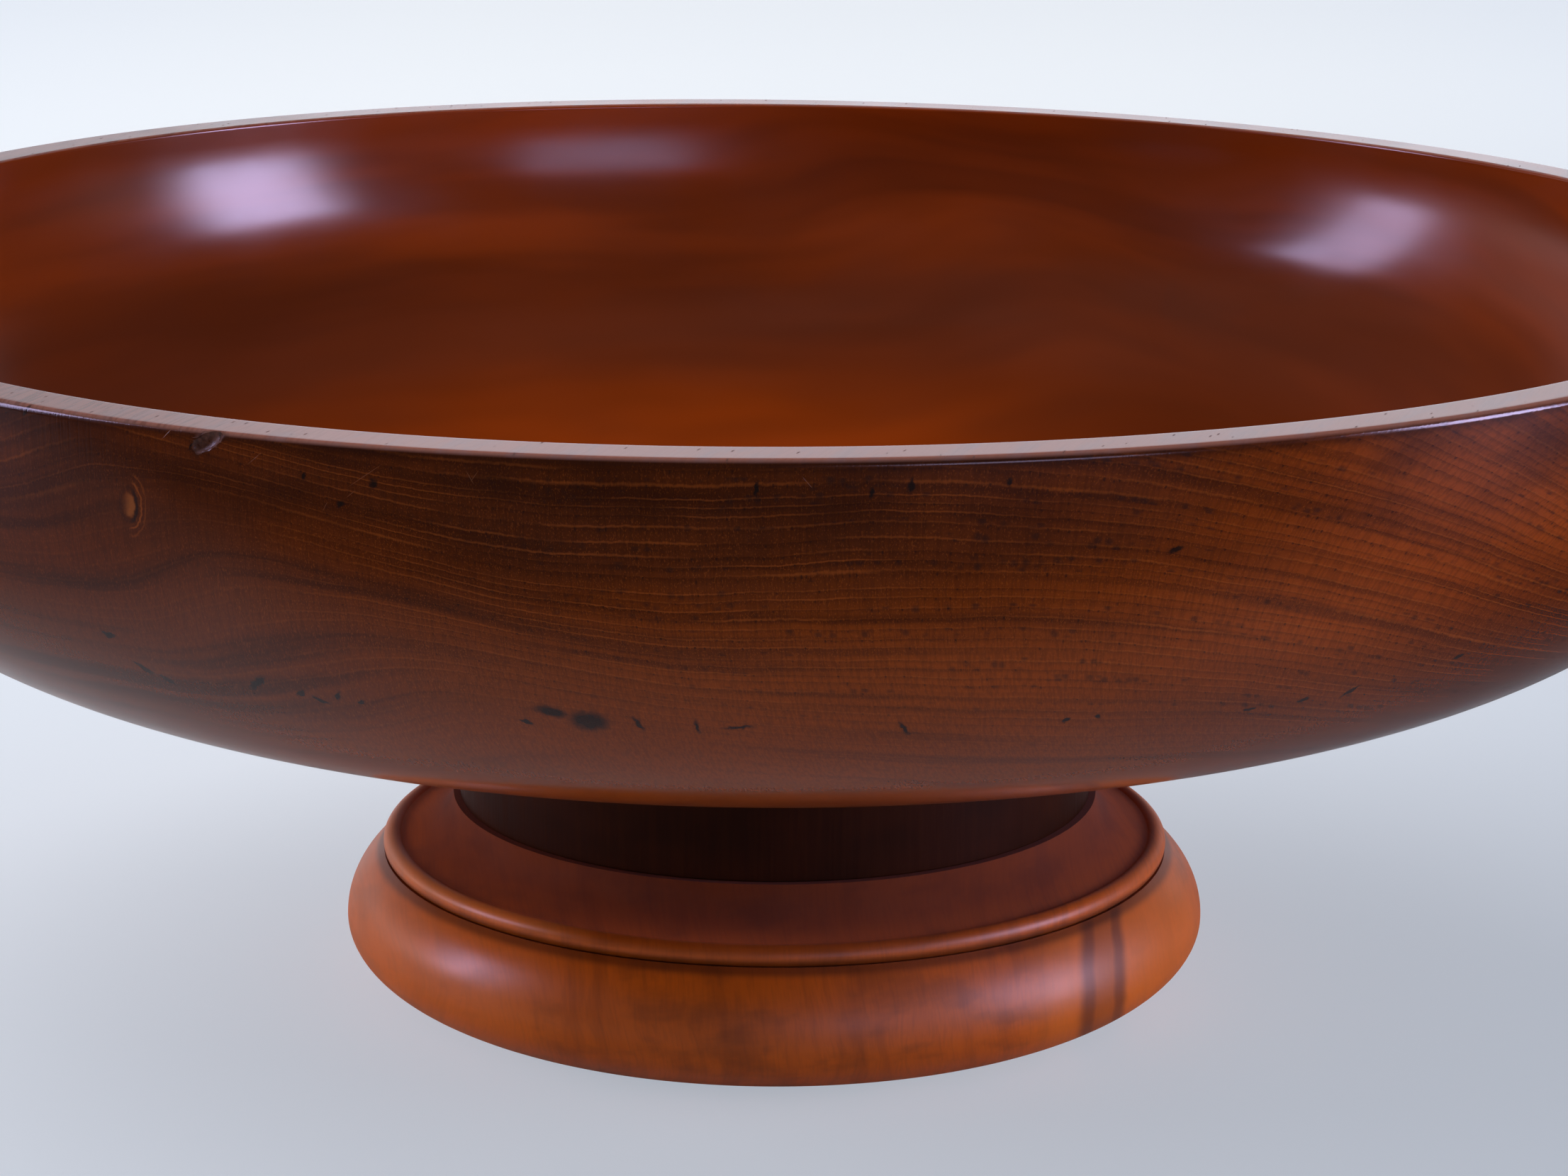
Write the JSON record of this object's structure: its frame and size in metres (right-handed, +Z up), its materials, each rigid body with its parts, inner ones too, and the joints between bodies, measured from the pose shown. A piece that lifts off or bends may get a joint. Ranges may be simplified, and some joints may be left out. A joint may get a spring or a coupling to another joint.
{
  "type": "footed bowl",
  "caption": "Turned mahogany footed platter: a wide round bowl with a flat rim and a nearly flat belly, on a dark neck and a moulded foot.",
  "frame": {"origin": "centre of the foot's standing face, on the surface that the platter stands on", "axes": "+Z up along the turning axis; X and Y lie in the plane of the rim, and -Y faces the picture's viewer"},
  "size_m": [0.3, 0.3, 0.114],
  "materials": {
    "bowl_mahogany": "waxed and polished, open-pored",
    "neck_dark_wood": "near-black stain, satin",
    "foot_mahogany": "waxed and polished"
  },
  "bodies": {
    "root": {"bowl": "bowl_mahogany", "neck": "neck_dark_wood", "foot": "foot_mahogany"}
  },
  "joints": []
}
